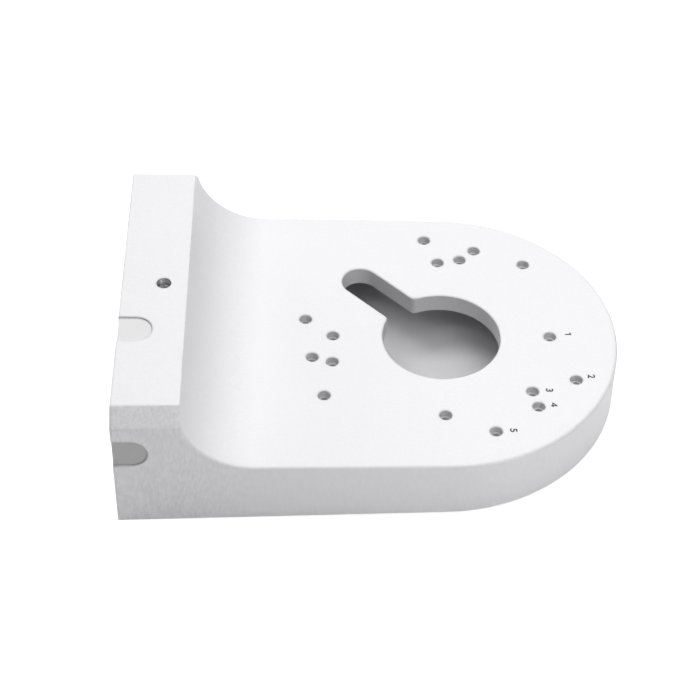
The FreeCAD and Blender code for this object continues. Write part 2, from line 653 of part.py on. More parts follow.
# Hooks that catch the housing's ribs, one and its mirror image
lip_back = "(%s + Sizes.sheet)" % LIP_X
lip_foot = "(%s + Sizes.seat_gap)" % sloped("Sizes.base_wall", lip_back)
hook_over = "(%s + Sizes.sheet)" % HOOK_Z
hook_root = "(%s + Sizes.sheet)" % PLATE_LOW
hook_side_sketch = new_sketch(wall_plate, "hook_side", "XZ_Plane", z="Sizes.hook_offset")
polygon(hook_side_sketch, (("0", HOOK_Z), (LIP_X, HOOK_Z), (LIP_X, lip_foot), (lip_back, lip_foot),
                           (lip_back, hook_over), ("Sizes.sheet", hook_over),
                           ("Sizes.sheet", hook_root), ("0", hook_root)))
pad(wall_plate, "hook", hook_side_sketch, "Sizes.hook_width", both=True)
hook_pad = wall_plate.Tip
mirrored = wall_plate.newObject("PartDesign::Mirrored", "hooks")
mirrored.Originals = [hook_pad]
mirrored.MirrorPlane = (origin_plane(wall_plate, "XZ_Plane"), [""])
wall_plate.Tip = mirrored
doc.recompute()
dress(wall_plate, "Fillet", "hook_bends", "Sizes.bend_round",
      bend_at((0, value_of(HOOK_Z)), (value_of(lip_back), value_of(hook_over))))
dress(wall_plate, "Fillet", "hook_bends_inside", BEND_INSIDE,
      bend_at((value_of(LIP_X), value_of(HOOK_Z)), (size("sheet"), value_of(hook_over))))

# Cable hole and the four slots for the wall screws
holes = new_sketch(wall_plate, "hole_sketch", "YZ_Plane")
circle(holes, "Sizes.cable_hole", y="Sizes.cable_hole_z")
for across in ("Sizes.wall_screw_y / 2", "-Sizes.wall_screw_y / 2"):
    for along in ("Sizes.wall_screw_z / 2", "-Sizes.wall_screw_z / 2"):
        slot(holes, "(%s)" % across, "(%s + (%s))" % (PLATE_MIDDLE, along),
             "(Sizes.wall_slot_length / 2)", "Sizes.wall_slot_radius")
pocket(wall_plate, "holes", holes, "2 * Sizes.sheet", backwards=True)


# Locking screw: a grub screw with a hex socket

locking_screw = doc.addObject("PartDesign::Body", "locking_screw")
put(locking_screw, "-" + MIDDLE_X)
shank = new_sketch(locking_screw, "shank", "XY_Plane", x="Sizes.lock_x", z=LOCK_TOP)
circle(shank, "(Sizes.lock_radius - Sizes.thread_gap)")
pad(locking_screw, "thread", shank, "Sizes.lock_length", backwards=True)
dress(locking_screw, "Chamfer", "screw_ends", "Sizes.lock_chamfer", lambda middle, ends: len(ends) == 1)
socket = new_sketch(locking_screw, "socket", "XY_Plane", x="Sizes.lock_x", z=LOCK_TOP)
corner = "Sizes.lock_socket / sqrt(3)"
SOCKET_SIDES = 6
polygon(socket, [("(%s * cos(%g deg))" % (corner, FULL_TURN * (i + 0.5) / SOCKET_SIDES),
                  "(%s * sin(%g deg))" % (corner, FULL_TURN * (i + 0.5) / SOCKET_SIDES))
                 for i in range(SOCKET_SIDES)])
pocket(locking_screw, "socket_cut", socket, "Sizes.lock_socket_depth")


# Check and write the pieces

doc.recompute()
for item in doc.Objects:
    if "Invalid" in item.State or "Error" in item.State:
        raise RuntimeError(item.Name + " failed")
os.makedirs("parts", exist_ok=True)
for node in NODES:
    piece = doc.getObject(node)
    piece.Label = node
    if piece.Shape.isNull() or not piece.Shape.isValid() or len(piece.Shape.Solids) != 1:
        raise RuntimeError(node + " isn't one valid solid")
    piece.Shape.exportStep("parts/%s.step" % node)
    print(node, len(piece.Shape.Solids), round(piece.Shape.Volume, 1), piece.Shape.BoundBox)
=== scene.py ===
import math

import bmesh
import bpy
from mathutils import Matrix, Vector


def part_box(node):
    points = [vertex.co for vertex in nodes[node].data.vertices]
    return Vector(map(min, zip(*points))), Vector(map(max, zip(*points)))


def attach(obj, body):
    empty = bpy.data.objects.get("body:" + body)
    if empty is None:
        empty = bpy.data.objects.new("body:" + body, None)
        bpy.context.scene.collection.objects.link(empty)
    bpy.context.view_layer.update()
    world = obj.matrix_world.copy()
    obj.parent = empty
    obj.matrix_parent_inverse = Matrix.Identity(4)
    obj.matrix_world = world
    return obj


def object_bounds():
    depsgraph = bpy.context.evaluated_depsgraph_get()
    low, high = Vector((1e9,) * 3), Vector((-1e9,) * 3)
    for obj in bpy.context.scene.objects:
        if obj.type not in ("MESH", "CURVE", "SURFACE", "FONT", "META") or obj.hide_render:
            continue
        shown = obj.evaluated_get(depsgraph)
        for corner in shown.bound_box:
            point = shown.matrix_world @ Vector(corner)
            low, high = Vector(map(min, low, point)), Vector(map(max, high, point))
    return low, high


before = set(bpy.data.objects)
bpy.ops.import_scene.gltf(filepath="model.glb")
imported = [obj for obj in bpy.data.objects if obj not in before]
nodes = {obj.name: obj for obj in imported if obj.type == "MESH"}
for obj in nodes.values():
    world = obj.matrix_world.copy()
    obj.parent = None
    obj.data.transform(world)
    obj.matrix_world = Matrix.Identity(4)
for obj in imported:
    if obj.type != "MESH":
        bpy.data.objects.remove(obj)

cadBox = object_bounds()
mm = 0.001
scene = bpy.context.scene
scene.view_settings.view_transform = "Standard"
print("frame loaded:", ", ".join(sorted(nodes)))


# Camera, where the photo was taken from

view = {
    "place": (-0.017344, -0.496181, 0.512084),  # metres
    "turn": (45.099, -0.76576, -0.40783),  # degrees
    "lens": 107.912,  # millimetres, as the sensor's width is
    "sensor": 36.0,
    "nearest": 0.01,  # metres; what is nearer isn't drawn
}


def makeCamera():
    data = bpy.data.cameras.new("photoCamera")
    data.lens = view["lens"]
    data.sensor_width = view["sensor"]
    data.clip_start = view["nearest"]
    camera = bpy.data.objects.new("photoCamera", data)
    camera.location = view["place"]
    camera.rotation_euler = [math.radians(angle) for angle in view["turn"]]
    scene.collection.objects.link(camera)
    scene.camera = camera


makeCamera()
print("camera placed")


# Small helpers for node trees and meshes

nodeSpacing = (220, 180)  # across and down, in the node editor


def startMaterial(name):
    material = bpy.data.materials.new(name)
    material.use_nodes = True
    material.node_tree.nodes.clear()
    return material, material.node_tree


def addNode(tree, kind, column, row, **settings):
    node = tree.nodes.new(kind)
    node.location = (column * nodeSpacing[0], -row * nodeSpacing[1])
    for key, value in settings.items():
        setattr(node, key, value)
    return node


def setInputs(node, **values):
    for key, value in values.items():  # an underscore stands for a space in the input's name
        node.inputs[key.replace("_", " ")].default_value = value
    return node


def addPiece(name, mesh, material):
    piece = bpy.data.objects.new(name, mesh)
    scene.collection.objects.link(piece)
    mesh.materials.append(material)
    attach(piece, "root")


# Node groups that several finishes share

grainNoise = {"Detail": 2.0, "Roughness": 0.5}
grainSpread = (0.35, 0.65)  # nearly all of the grain's values lie between these two
cloudNoise = {"Detail": 3.0, "Roughness": 0.55}
cloudSpread = (0.3, 0.7)


def startGroup(name, inputs, outputs):
    group = bpy.data.node_groups.new(name, "ShaderNodeTree")
    for label, value in inputs.items():
        socket = group.interface.new_socket(label, in_out="INPUT", socket_type="NodeSocketFloat")
        socket.default_value = value
    for label in outputs:
        group.interface.new_socket(label, in_out="OUTPUT", socket_type="NodeSocketFloat")
    return group, addNode(group, "NodeGroupInput", 0, 1), addNode(group, "NodeGroupOutput", 6, 1)


def makeGrainGroup():
    # Orange peel with finer grains on it, stretched upwards; sizes in millimetres, outputs round 0.5
    group, given, result = startGroup(
        "finishGrain",
        {"Peel Size": 0.9, "Grain Size": 0.25, "Grain Share": 0.35, "Upright Stretch": 1.0},
        ["Height", "Tone"])
    place = addNode(group, "ShaderNodeTexCoord", 0, 3)
    apart = addNode(group, "ShaderNodeSeparateXYZ", 1, 3)
    squeezed = addNode(group, "ShaderNodeMath", 2, 4, operation="DIVIDE")
    joined = addNode(group, "ShaderNodeCombineXYZ", 3, 3)
    group.links.new(place.outputs["Object"], apart.inputs[0])
    group.links.new(apart.outputs["Z"], squeezed.inputs[0])
    group.links.new(given.outputs["Upright Stretch"], squeezed.inputs[1])
    group.links.new(apart.outputs["X"], joined.inputs["X"])
    group.links.new(apart.outputs["Y"], joined.inputs["Y"])
    group.links.new(squeezed.outputs[0], joined.inputs["Z"])
    noises = []
    for row, label in enumerate(["Peel Size", "Grain Size"]):
        scale = addNode(group, "ShaderNodeMath", 2, row, operation="DIVIDE")
        scale.inputs[0].default_value = 1 / mm
        noise = addNode(group, "ShaderNodeTexNoise", 4, row)
        setInputs(noise, **grainNoise)
        group.links.new(given.outputs[label], scale.inputs[1])
        group.links.new(scale.outputs[0], noise.inputs["Scale"])
        group.links.new(joined.outputs[0], noise.inputs["Vector"])
        noises.append(noise)
    mixed = addNode(group, "ShaderNodeMix", 5, 0, data_type="FLOAT")
    group.links.new(given.outputs["Grain Share"], mixed.inputs[0])
    group.links.new(noises[0].outputs["Fac"], mixed.inputs[2])
    group.links.new(noises[1].outputs["Fac"], mixed.inputs[3])
    group.links.new(mixed.outputs[0], result.inputs["Height"])
    group.links.new(noises[0].outputs["Fac"], result.inputs["Tone"])
    return group


def makeCloudGroup():
    # Slow, faint change of tone over a surface; size in millimetres
    group, given, result = startGroup("slowClouds", {"Cloud Size": 30.0, "Low": 0.97, "High": 1.0}, ["Shade"])
    place = addNode(group, "ShaderNodeTexCoord", 0, 2)
    scale = addNode(group, "ShaderNodeMath", 1, 1, operation="DIVIDE")
    scale.inputs[0].default_value = 1 / mm
    noise = addNode(group, "ShaderNodeTexNoise", 2, 1)
    setInputs(noise, **cloudNoise)
    spread = addNode(group, "ShaderNodeMapRange", 3, 1)
    setInputs(spread, From_Min=cloudSpread[0], From_Max=cloudSpread[1])
    group.links.new(given.outputs["Cloud Size"], scale.inputs[1])
    group.links.new(scale.outputs[0], noise.inputs["Scale"])
    group.links.new(place.outputs["Object"], noise.inputs["Vector"])
    group.links.new(noise.outputs["Fac"], spread.inputs["Value"])
    group.links.new(given.outputs["Low"], spread.inputs["To Min"])
    group.links.new(given.outputs["High"], spread.inputs["To Max"])
    group.links.new(spread.outputs["Result"], result.inputs["Shade"])
    return group


grainGroup = makeGrainGroup()
cloudGroup = makeCloudGroup()
print("node groups built")


# Finishes, and first the places where the powder coat changes and where shade is painted on it, in
# millimetres

hollow = {
    "halfWidth": 56.86,   # between the outer and the inner wall, at the middle of the round end
    "endMiddle": 23.07,   # where the round end's middle lies
    "taper": 0.0157,      # how much wider the plan gets for each millimetre towards the wall
    "floor": 3.49,        # under the middle of the object
    "floorSlope": 0.0244,  # rise for each millimetre towards the round end
    "plateRoof": 23.9,    # takes in the walls of the keyhole and of the screw holes
    "ledges": 20.0,       # above this, what looks up is a ledge in a screw hole, left without painted shade
    "lookingUp": 0.5,     # the least upward share of a ledge's normal
    "blockRoof": 44.6,    # height of the roof inside the wall block
    "blockEnd": -62.0,    # where the wall block's inside ends under the cove
    "blockBevel": 100.3,  # height and distance from the middle together, between both bevels
}
ridge = {"above": 45.0, "past": -66.0}  # round the edge between the strip and the cove
blockSides = {
    "full": -58.0,  # the coat on the sides is coarse from here to the wall
    "none": -36.0,  # and as fine as elsewhere from here to the round end
    "facing": 0.5,  # the least sideways share of a side's normal
}


def addPlaceMasks(tree):
    # From the place and the normal: the walls of the hollow, the keyhole and the screw holes, which get
    # painted shade, the ridge, and the sides of the wall block
    steps = []
    stepsPerRow = 8  # in the node editor

    def calculate(operation, first, second=0.0):
        column, row = len(steps) % stepsPerRow, len(steps) // stepsPerRow
        node = addNode(tree, "ShaderNodeMath", column, 10 + row, operation=operation)
        steps.append(node)
        for number, value in enumerate((first, second)):
            if isinstance(value, float):
                node.inputs[number].default_value = value
            else:
                tree.links.new(value, node.inputs[number])
        return node.outputs[0]

    place = addNode(tree, "ShaderNodeTexCoord", 0, 5)
    apart = addNode(tree, "ShaderNodeSeparateXYZ", 1, 5)
    tree.links.new(place.outputs["Object"], apart.inputs[0])
    x, y, z = (calculate("MULTIPLY", apart.outputs[axis], 1 / mm) for axis in "XYZ")
    past = calculate("SUBTRACT", x, hollow["endMiddle"])
    intoEnd = calculate("MAXIMUM", past, 0.0)
    aside = calculate("ABSOLUTE", y)
    reach = calculate("SQRT", calculate("ADD", calculate("MULTIPLY", intoEnd, intoEnd),
                                        calculate("MULTIPLY", aside, aside)))
    spare = calculate("MULTIPLY", calculate("MINIMUM", past, 0.0), hollow["taper"])
    within = calculate("LESS_THAN", calculate("ADD", reach, spare), hollow["halfWidth"])
    rise = calculate("SUBTRACT", z, calculate("MULTIPLY", x, hollow["floorSlope"]))
    above = calculate("GREATER_THAN", rise, hollow["floor"])
    underPlate = calculate("LESS_THAN", z, hollow["plateRoof"])
    inBlock = calculate("MULTIPLY", calculate("LESS_THAN", z, hollow["blockRoof"]),
                        calculate("LESS_THAN", x, hollow["blockEnd"]))
    inBevel = calculate("LESS_THAN", calculate("ADD", aside, z), hollow["blockBevel"])
    between = calculate("MULTIPLY", calculate("MULTIPLY", within, above), inBevel)
    inside = calculate("MULTIPLY", between, calculate("MAXIMUM", underPlate, inBlock))
    shape = addNode(tree, "ShaderNodeNewGeometry", 0, 6)
    turned = addNode(tree, "ShaderNodeSeparateXYZ", 1, 6)
    tree.links.new(shape.outputs["True Normal"], turned.inputs[0])
    onLedge = calculate("MULTIPLY", calculate("GREATER_THAN", turned.outputs["Z"], hollow["lookingUp"]),
                        calculate("GREATER_THAN", z, hollow["ledges"]))
    paintedShadeMask = calculate("MULTIPLY", inside, calculate("SUBTRACT", 1.0, onLedge))
    onRidge = calculate("MULTIPLY", calculate("GREATER_THAN", z, ridge["above"]),
                        calculate("GREATER_THAN", x, ridge["past"]))
    sideways = calculate("GREATER_THAN", calculate("ABSOLUTE", turned.outputs["Y"]), blockSides["facing"])
    nearWall = addNode(tree, "ShaderNodeMapRange", 2, 6)
    setInputs(nearWall, From_Min=blockSides["none"], From_Max=blockSides["full"])
    tree.links.new(x, nearWall.inputs["Value"])
    return inside, paintedShadeMask, onRidge, calculate("MULTIPLY", sideways, nearWall.outputs["Result"])


def addRange(tree, row, source, low, high):
    node = addNode(tree, "ShaderNodeMapRange", 2, row)
    setInputs(node, To_Min=low, To_Max=high)
    tree.links.new(source, node.inputs["Value"])
    return node.outputs["Result"]


def addCoatAndPaintedShade(tree, finish, shade, height, bump):
    # In the hollow the walls get painted shade, darker than the coat outside; outside the shading rounds
    # every edge, the ridge the least, and the coat is coarse on the sides of the wall block
    inside, paintedShadeMask, onRidge, onBlockSide = addPlaceMasks(tree)
    # painted shade: the coat's colour is made darker on the walls in the hollow, but not on the ledges
    darker = addNode(tree, "ShaderNodeMath", 3, 5, operation="MULTIPLY")
    tree.links.new(shade, darker.inputs[0])
    tree.links.new(addRange(tree, 5, paintedShadeMask, 1.0, finish["hollowPaintedShade"]), darker.inputs[1])
    soft = addNode(tree, "ShaderNodeBevel", 3, 4, samples=finish["edgeSamples"])
    radius = addNode(tree, "ShaderNodeMath", 3, 6, operation="MULTIPLY")
    tree.links.new(addRange(tree, 7, inside, finish["edgeSoftness"] * mm, finish["insideSoftness"] * mm),
                   radius.inputs[0])
    tree.links.new(addRange(tree, 8, onRidge, 1.0, finish["ridgeShare"]), radius.inputs[1])
    tree.links.new(radius.outputs[0], soft.inputs["Radius"])
    tree.links.new(soft.outputs["Normal"], bump.inputs["Normal"])
    coarser = addNode(tree, "ShaderNodeMath", 3, 7, operation="MULTIPLY")
    tree.links.new(height, coarser.inputs[0])
    tree.links.new(addRange(tree, 9, onBlockSide, 1.0, finish["blockGrain"]), coarser.inputs[1])
    pits = addNode(tree, "ShaderNodeMapRange", 1, 8)
    setInputs(pits, From_Min=grainSpread[0], From_Max=grainSpread[1],
              To_Min=-finish["blockPits"], To_Max=finish["blockPits"])
    pitted = addNode(tree, "ShaderNodeMath", 3, 8, operation="MULTIPLY_ADD")
    pitted.inputs[2].default_value = 1.0  # the tone where there are no pits
    shaded = addNode(tree, "ShaderNodeMath", 4, 7, operation="MULTIPLY")
    tree.links.new(height, pits.inputs["Value"])
    tree.links.new(pits.outputs["Result"], pitted.inputs[0])
    tree.links.new(onBlockSide, pitted.inputs[1])
    tree.links.new(darker.outputs[0], shaded.inputs[0])
    tree.links.new(pitted.outputs[0], shaded.inputs[1])
    return shaded.outputs[0], coarser.outputs[0]


def makeFinish(name, finish):
    # Principled surface whose colour, roughness and relief come from the two groups
    material, tree = startMaterial(name)
    grain = addNode(tree, "ShaderNodeGroup", 0, 0, node_tree=grainGroup)
    setInputs(grain, Peel_Size=finish["peelSize"], Grain_Size=finish["grainSize"],
              Grain_Share=finish["grainShare"], Upright_Stretch=finish["uprightStretch"])
    clouds = addNode(tree, "ShaderNodeGroup", 0, 2, node_tree=cloudGroup)
    setInputs(clouds, Cloud_Size=finish["cloudSize"], Low=1 - finish["cloudDepth"], High=1.0)
    tone = addNode(tree, "ShaderNodeMapRange", 1, 1)
    setInputs(tone, From_Min=grainSpread[0], From_Max=grainSpread[1],
              To_Min=1 - finish["toneDepth"], To_Max=1.0)
    both = addNode(tree, "ShaderNodeMath", 2, 1, operation="MULTIPLY")
    tint = addNode(tree, "ShaderNodeVectorMath", 3, 1, operation="SCALE")
    tint.inputs[0].default_value = finish["colour"]
    rough = addNode(tree, "ShaderNodeMapRange", 2, 3)
    setInputs(rough, To_Min=finish["roughness"][0], To_Max=finish["roughness"][1])
    bump = addNode(tree, "ShaderNodeBump", 3, 3)
    setInputs(bump, Strength=finish["bumpStrength"], Distance=finish["bumpDepth"] * mm)
    shader = addNode(tree, "ShaderNodeBsdfPrincipled", 4, 1)
    setInputs(shader, Metallic=finish["metallic"], IOR=finish["ior"])
    output = addNode(tree, "ShaderNodeOutputMaterial", 6, 1)
    tree.links.new(grain.outputs["Tone"], tone.inputs["Value"])
    tree.links.new(tone.outputs["Result"], both.inputs[0])
    tree.links.new(clouds.outputs["Shade"], both.inputs[1])
    shade = both.outputs[0]
    height = grain.outputs["Height"]
    if "hollowPaintedShade" in finish:
        shade, height = addCoatAndPaintedShade(tree, finish, shade, height, bump)
    tree.links.new(shade, tint.inputs["Scale"])
    tree.links.new(tint.outputs[0], shader.inputs["Base Color"])
    tree.links.new(grain.outputs["Height"], rough.inputs["Value"])
    tree.links.new(rough.outputs["Result"], shader.inputs["Roughness"])
    tree.links.new(height, bump.inputs["Height"])
    tree.links.new(bump.outputs["Normal"], shader.inputs["Normal"])
    tree.links.new(shader.outputs[0], output.inputs[0])
    return material


# Sizes and depths in millimetres; a shade or a tone is a share of the colour

powderCoat = {
    "hollowPaintedShade": 0.8,      # painted shade: the walls in the hollow are made this much darker
    "edgeSoftness": 1.3,     # radius of the soft shading on edges outside
    "insideSoftness": 0.02,  # and in the hollow
    "ridgeShare": 0.3,       # of that radius, on the ridge
    "edgeSamples": 6,
    "blockGrain": 1.2,       # relief on the block's sides, against that elsewhere
    "blockPits": 0.05,       # how far the tone goes up and down there
    "colour": (0.859, 0.854, 0.875), "metallic": 0.0, "ior": 1.5, "roughness": (0.42, 0.62),
    "peelSize": 0.85, "grainSize": 0.3, "grainShare": 0.3, "uprightStretch": 3.2,
    "toneDepth": 0.03, "cloudSize": 35.0, "cloudDepth": 0.012,
    "bumpStrength": 0.55, "bumpDepth": 0.06,
}
plugPlastic = {
    "colour": (0.745, 0.743, 0.754), "metallic": 0.0, "ior": 1.48, "roughness": (0.38, 0.5),
    "peelSize": 0.7, "grainSize": 0.2, "grainShare": 0.2, "uprightStretch": 1.0,
    "toneDepth": 0.01, "cloudSize": 8.0, "cloudDepth": 0.02,
    "bumpStrength": 0.15, "bumpDepth": 0.03,
}
# the side plugs are the same plastic made darker: painted shade where they face sideways and sit recessed
sidePlugPaintedShade = dict(plugPlastic, colour=(0.49, 0.49, 0.491))
zincSheet = {
    "colour": (0.48, 0.495, 0.52), "metallic": 1.0, "ior": 1.5, "roughness": (0.28, 0.5),
    "peelSize": 3.0, "grainSize": 0.4, "grainShare": 0.4, "uprightStretch": 6.0,
    "toneDepth": 0.12, "cloudSize": 12.0, "cloudDepth": 0.1,
    "bumpStrength": 0.2, "bumpDepth": 0.02,
}
screwSteel = {
    "colour": (0.78, 0.78, 0.78), "metallic": 0.7, "ior": 1.5, "roughness": (0.4, 0.6),
    "peelSize": 0.6, "grainSize": 0.15, "grainShare": 0.5, "uprightStretch": 0.2,
    "toneDepth": 0.1, "cloudSize": 3.0, "cloudDepth": 0.15,
    "bumpStrength": 0.2, "bumpDepth": 0.02,
}
# bare metal of the tapped hole, its colour made dark as painted shade deep in the hole
bareCastingPaintedShade = {
    "colour": (0.24, 0.24, 0.243), "metallic": 1.0, "ior": 1.5, "roughness": (0.25, 0.4),
    "peelSize": 0.5, "grainSize": 0.12, "grainShare": 0.5, "uprightStretch": 0.3,
    "toneDepth": 0.1, "cloudSize": 3.0, "cloudDepth": 0.15,
    "bumpStrength": 0.2, "bumpDepth": 0.02,
}
numberInk = {
    "colour": (0.012, 0.012, 0.013), "metallic": 0.0, "ior": 1.45, "roughness": (0.5, 0.7),
    "peelSize": 0.3, "grainSize": 0.08, "grainShare": 0.5, "uprightStretch": 1.0,
    "toneDepth": 0.3, "cloudSize": 2.0, "cloudDepth": 0.2,
    "bumpStrength": 0.1, "bumpDepth": 0.01,
}

finishes = {
    "housing": makeFinish("whitePowderCoat", powderCoat),
    "strip_entry_plug": makeFinish("lightGreyPlug", plugPlastic),
    "near_entry_plug": makeFinish("sidePlugWithPaintedShade", sidePlugPaintedShade),
    "wall_plate": makeFinish("zincPlatedSheet", zincSheet),
    "locking_screw": makeFinish("stainlessScrew", screwSteel),
}
finishes["far_entry_plug"] = finishes["near_entry_plug"]
print("finishes made")


# The modelled pieces: their finish, and soft shading over their small bevels

softShading = {
    "sharpAngle": 55.0,  # degrees; what turns more than this stays a crisp edge
    "weldReach": 0.002,  # millimetres
    "flatShare": 100,    # how much large faces rule the normals; 50 is even
}


def dressNode(piece, material):
    for number in range(len(piece.data.materials)):
        piece.data.materials[number] = material
    piece.data.polygons.foreach_set("use_smooth", [True] * len(piece.data.polygons))
    weld = piece.modifiers.new("weldSeams", "WELD")
    weld.merge_threshold = softShading["weldReach"] * mm
    split = piece.modifiers.new("crispEdges", "EDGE_SPLIT")
    split.split_angle = math.radians(softShading["sharpAngle"])
    split.use_edge_sharp = False
    normals = piece.modifiers.new("flatsStayFlat", "WEIGHTED_NORMAL")
    normals.weight = softShading["flatShare"]
    normals.keep_sharp = True


for name, piece in nodes.items():
    dressNode(piece, finishes[name])
print("pieces dressed")


# Numbers printed beside the screw holes

numbers = {
    "height": 2.35,      # millimetres
    "fontHeight": 0.73,  # of the built-in font's digits, in shares of its size
    "width": 1.12,       # wider than the built-in font
    "boldness": 0.026,   # added on each side of a stroke, in shares of the font's size
    "body": 0.01,        # only parts the top of a digit from its underside
    "drawn": {           # digits whose shape the font hasn't got
        "1": [[(0.24, 0), (0.38, 0), (0.38, 0.66), (0.27, 0.66), (0.07, 0.56), (0.07, 0.42), (0.24, 0.49)]],
        "4": [[(0.32, 0), (0.45, 0), (0.45, 0.13), (0.54, 0.13), (0.54, 0.25), (0.45, 0.25), (0.45, 0.64),
               (0.34, 0.64), (0.02, 0.25), (0.02, 0.13), (0.32, 0.13)],
              [(0.32, 0.25), (0.16, 0.25), (0.32, 0.45)]],
    },
    "inkThickness": 0.02,  # above the surface, and as much below it
    "places": {"1": (65.27, 1.47), "2": (71.32, -18.32), "3": (57.14, -24.65),
               "4": (58.16, -31.22), "5": (44.42, -42.44)},
}


def surfaceUnder(x, y):
    hit, place, _, _ = nodes["housing"].ray_cast(Vector((x, y, cadBox[1].z + mm)), Vector((0, 0, -1)))
    assert hit, "no surface under a number"
    return place.z


def drawDigit(digit):
    if digit in numbers["drawn"]:
        curve = bpy.data.curves.new("number", "CURVE")
        curve.dimensions = "2D"
        curve.fill_mode = "BOTH"
        for outline in numbers["drawn"][digit]:
            line = curve.splines.new("POLY")
            line.points.add(len(outline) - 1)
            for point, (right, up) in zip(line.points, outline):
                point.co = (right, up, 0, 1)
            line.use_cyclic_u = True
    else:
        curve = bpy.data.curves.new("number", "FONT")
        curve.body = digit
        curve.offset = numbers["boldness"]
    curve.extrude = numbers["body"]
    return curve


def makeNumber(digit, x, y, material):
    holder = bpy.data.objects.new("number", drawDigit(digit))
    mesh = bpy.data.meshes.new_from_object(holder)
    bpy.data.objects.remove(holder)
    corners = [vertex.co.copy() for vertex in mesh.vertices]
    low = Vector([min(corner[axis] for corner in corners) for axis in range(3)])
    high = Vector([max(corner[axis] for corner in corners) for axis in range(3)])
    size = numbers["height"] * mm / numbers["fontHeight"]
    thickness = numbers["inkThickness"] * mm
    middle = (low + high) / 2
    ground = surfaceUnder(x, y)
    for vertex in mesh.vertices:
        across = (vertex.co.x - middle.x) * size * numbers["width"]
        up = (vertex.co.y - middle.y) * size
        proud = thickness if vertex.co.z > middle.z else -thickness
        vertex.co = (x + up, y - across, ground + proud)  # the top of each number looks to the round end
    addPiece("number_" + digit, mesh, material)


inkMaterial = makeFinish("numberInk", numberInk)
for digit, (x, y) in numbers["places"].items():
    makeNumber(digit, x * mm, y * mm, inkMaterial)
print("numbers printed")


# Thread in the strip's hole, above the locking screw; lengths in millimetres

thread = {
    "pitch": 0.8,
    "depth": 0.34,
    "crestReach": 0.44,      # from the crest to the root, in shares of the pitch
    "skin": 0.01,            # least thickness of the ring, at the roots
    "screwClearance": 0.05,  # between the screw and the plain hole
    "holeClearance": 0.015,  # between the ring and the plain hole
    "aboveScrew": 0.02,      # gap to the screw's end
    "topGap": 0.1,           # and to the strip's face
    "leadIn": 0.35,          # length over which the thread fades out below that face
    "around": 72,            # corners in each ring
    "rowsPerTurn": 16,
}


def makeThread():
    low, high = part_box("locking_screw")
    middle = (low + high) / 2
    bottom = high.z + thread["aboveScrew"] * mm
    top = cadBox[1].z - thread["topGap"] * mm
    outer = (high.x - low.x) / 2 + (thread["screwClearance"] - thread["holeClearance"]) * mm
    count = thread["around"]
    rows = round((top - bottom) / mm / thread["pitch"] * thread["rowsPerTurn"])
    form = bmesh.new()
    inside = []
    outside = []
    for row in range(rows + 1):
        z = bottom + (top - bottom) * row / rows
        fade = min(1.0, (top - z) / mm / thread["leadIn"])
        insideRing = []
        outsideRing = []
        for step in range(count):
            turn = step / count
            angle = turn * 2 * math.pi
            phase = ((z - bottom) / mm / thread["pitch"] - turn) % 1.0
            crest = max(0.0, 1 - abs(phase - 0.5) / thread["crestReach"])
            radius = outer - (thread["skin"] + thread["depth"] * crest * fade) * mm
            direction = Vector((math.cos(angle), math.sin(angle), 0))
            insideRing.append(form.verts.new(Vector((middle.x, middle.y, z)) + direction * radius))
            outsideRing.append(form.verts.new(Vector((middle.x, middle.y, z)) + direction * outer))
        inside.append(insideRing)
        outside.append(outsideRing)
    for row in range(rows):
        for step in range(count):
            after = (step + 1) % count
            form.faces.new((inside[row][after], inside[row][step],
                            inside[row + 1][step], inside[row + 1][after]))
            form.faces.new((outside[row][step], outside[row][after],
                            outside[row + 1][after], outside[row + 1][step]))
    for step in range(count):
        after = (step + 1) % count
        form.faces.new((inside[0][step], inside[0][after], outside[0][after], outside[0][step]))
        form.faces.new((inside[rows][after], inside[rows][step], outside[rows][step], outside[rows][after]))
    mesh = bpy.data.meshes.new("lock_hole_thread")
    bmesh.ops.recalc_face_normals(form, faces=form.faces)
    form.to_mesh(mesh)
    form.free()
    mesh.polygons.foreach_set("use_smooth", [True] * len(mesh.polygons))
    addPiece("lock_hole_thread", mesh, makeFinish("bareCastingPaintedShade", bareCastingPaintedShade))


makeThread()
print("thread cut")


# Floor: pale, white where the camera or a gloss sees it, and it keeps a faint shadow

floorLook = {
    "size": 6.0,              # metres
    "gap": 0.02,              # millimetres under the object
    "colour": (0.9, 0.9, 0.9, 1),
    "glow": (0.7, 1.0),       # near and far, only for camera, gloss and glass rays
    "glowReach": (0.3, 1.1),  # metres from the middle, where near ends and far begins
}


def addSeenMask(tree, column, row):
    # 1 for rays from the camera, a gloss or glass, 0 for the rays that light the object
    path = addNode(tree, "ShaderNodeLightPath", column, row)
    first = addNode(tree, "ShaderNodeMath", column + 1, row, operation="MAXIMUM")
    second = addNode(tree, "ShaderNodeMath", column + 2, row, operation="MAXIMUM")
    tree.links.new(path.outputs["Is Camera Ray"], first.inputs[0])
    tree.links.new(path.outputs["Is Glossy Ray"], first.inputs[1])
    tree.links.new(first.outputs[0], second.inputs[0])
    tree.links.new(path.outputs["Is Transmission Ray"], second.inputs[1])
    return second


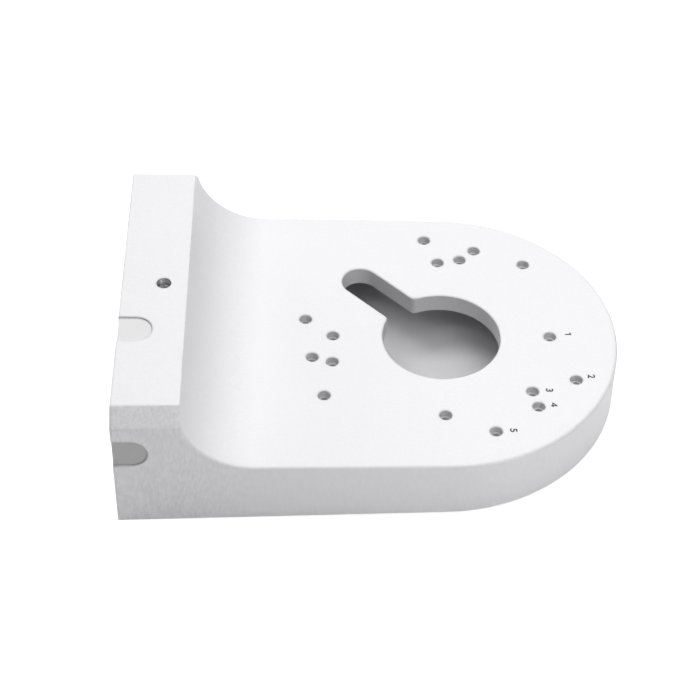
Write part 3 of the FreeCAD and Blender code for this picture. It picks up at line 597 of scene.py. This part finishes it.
def makeFloor():
    material, tree = startMaterial("paleFloor")
    seen = addSeenMask(tree, 0, 0)
    place = addNode(tree, "ShaderNodeTexCoord", 0, 2)
    away = addNode(tree, "ShaderNodeVectorMath", 1, 2, operation="LENGTH")
    ramp = addNode(tree, "ShaderNodeMapRange", 2, 2)
    setInputs(ramp, From_Min=floorLook["glowReach"][0], From_Max=floorLook["glowReach"][1],
              To_Min=floorLook["glow"][0], To_Max=floorLook["glow"][1])
    glow = addNode(tree, "ShaderNodeMath", 3, 0, operation="MULTIPLY")
    shine = addNode(tree, "ShaderNodeEmission", 4, 0)
    matt = addNode(tree, "ShaderNodeBsdfDiffuse", 4, 1)
    setInputs(matt, Color=floorLook["colour"])
    both = addNode(tree, "ShaderNodeAddShader", 5, 0)
    output = addNode(tree, "ShaderNodeOutputMaterial", 6, 0)
    tree.links.new(place.outputs["Object"], away.inputs[0])
    tree.links.new(away.outputs["Value"], ramp.inputs["Value"])
    tree.links.new(seen.outputs[0], glow.inputs[0])
    tree.links.new(ramp.outputs["Result"], glow.inputs[1])
    tree.links.new(glow.outputs[0], shine.inputs["Strength"])
    tree.links.new(shine.outputs[0], both.inputs[0])
    tree.links.new(matt.outputs[0], both.inputs[1])
    tree.links.new(both.outputs[0], output.inputs[0])
    half = floorLook["size"] / 2
    mesh = bpy.data.meshes.new("floor")
    corners = [(-half, -half, 0), (half, -half, 0), (half, half, 0), (-half, half, 0)]
    mesh.from_pydata(corners, [], [(0, 1, 2, 3)])
    mesh.materials.append(material)
    floor = bpy.data.objects.new("floor", mesh)
    floor.location.z = cadBox[0].z - floorLook["gap"] * mm
    scene.collection.objects.link(floor)


makeFloor()
print("floor laid")


# Light: soft studio lamps round the object, and a plain room

# Turn and rise in degrees, away and size in metres, power in watts
lamps = {
    "leftBackWide": {"turn": 135, "rise": 35, "away": 1.2, "size": 1.1, "power": 0.8},
    "leftBackLow": {"turn": 135, "rise": 12, "away": 1.2, "size": 0.5, "power": 2.5},
    "leftBackHigh": {"turn": 135, "rise": 62, "away": 1.2, "size": 0.5, "power": 3.5},
    "leftFrontHigh": {"turn": 225, "rise": 62, "away": 1.2, "size": 0.5, "power": 1.58},
    "back": {"turn": 90, "rise": 35, "away": 1.2, "size": 0.5, "power": 2.6},
    "backHigh": {"turn": 90, "rise": 62, "away": 1.2, "size": 0.5, "power": 2.6},
    "top": {"turn": 0, "rise": 75, "away": 0.45, "size": 0.2, "power": 0.21},
    "rightBack": {"turn": 45, "rise": 50, "away": 0.45, "size": 0.2, "power": 0.18},
    "rightFrontHigh": {"turn": 315, "rise": 50, "away": 0.45, "size": 0.2, "power": 0.26},
    "rightFrontLow": {"turn": 315, "rise": 28, "away": 0.45, "size": 0.2, "power": 0.25},
    "front": {"turn": 270, "rise": 28, "away": 0.45, "size": 0.2, "power": 0.15},
}
room = {
    "colour": (1, 1, 1, 1),
    "light": 0.0,  # strength for the rays that light the object
    "seen": 1.0,   # and for those from the camera, a gloss or glass, which see it white
}


def makeLamp(name, lamp):
    data = bpy.data.lights.new(name, "AREA")
    data.shape = "DISK"
    data.size = lamp["size"]
    data.energy = lamp["power"]
    turn = math.radians(lamp["turn"])
    rise = math.radians(lamp["rise"])
    direction = Vector((math.cos(turn) * math.cos(rise), math.sin(turn) * math.cos(rise), math.sin(rise)))
    holder = bpy.data.objects.new(name, data)
    holder.location = direction * lamp["away"]
    holder.rotation_euler = direction.to_track_quat("Z", "Y").to_euler()  # it shines to the middle
    scene.collection.objects.link(holder)


def makeRoom():
    world = bpy.data.worlds.new("room")
    world.use_nodes = True
    tree = world.node_tree
    tree.nodes.clear()
    seen = addSeenMask(tree, 0, 0)
    strength = addNode(tree, "ShaderNodeMapRange", 3, 0)
    setInputs(strength, To_Min=room["light"], To_Max=room["seen"])
    shine = addNode(tree, "ShaderNodeBackground", 4, 0)
    setInputs(shine, Color=room["colour"])
    output = addNode(tree, "ShaderNodeOutputWorld", 5, 0)
    tree.links.new(seen.outputs[0], strength.inputs["Value"])
    tree.links.new(strength.outputs["Result"], shine.inputs["Strength"])
    tree.links.new(shine.outputs[0], output.inputs[0])
    scene.world = world


for name, lamp in lamps.items():
    makeLamp(name, lamp)
makeRoom()
print("light set")
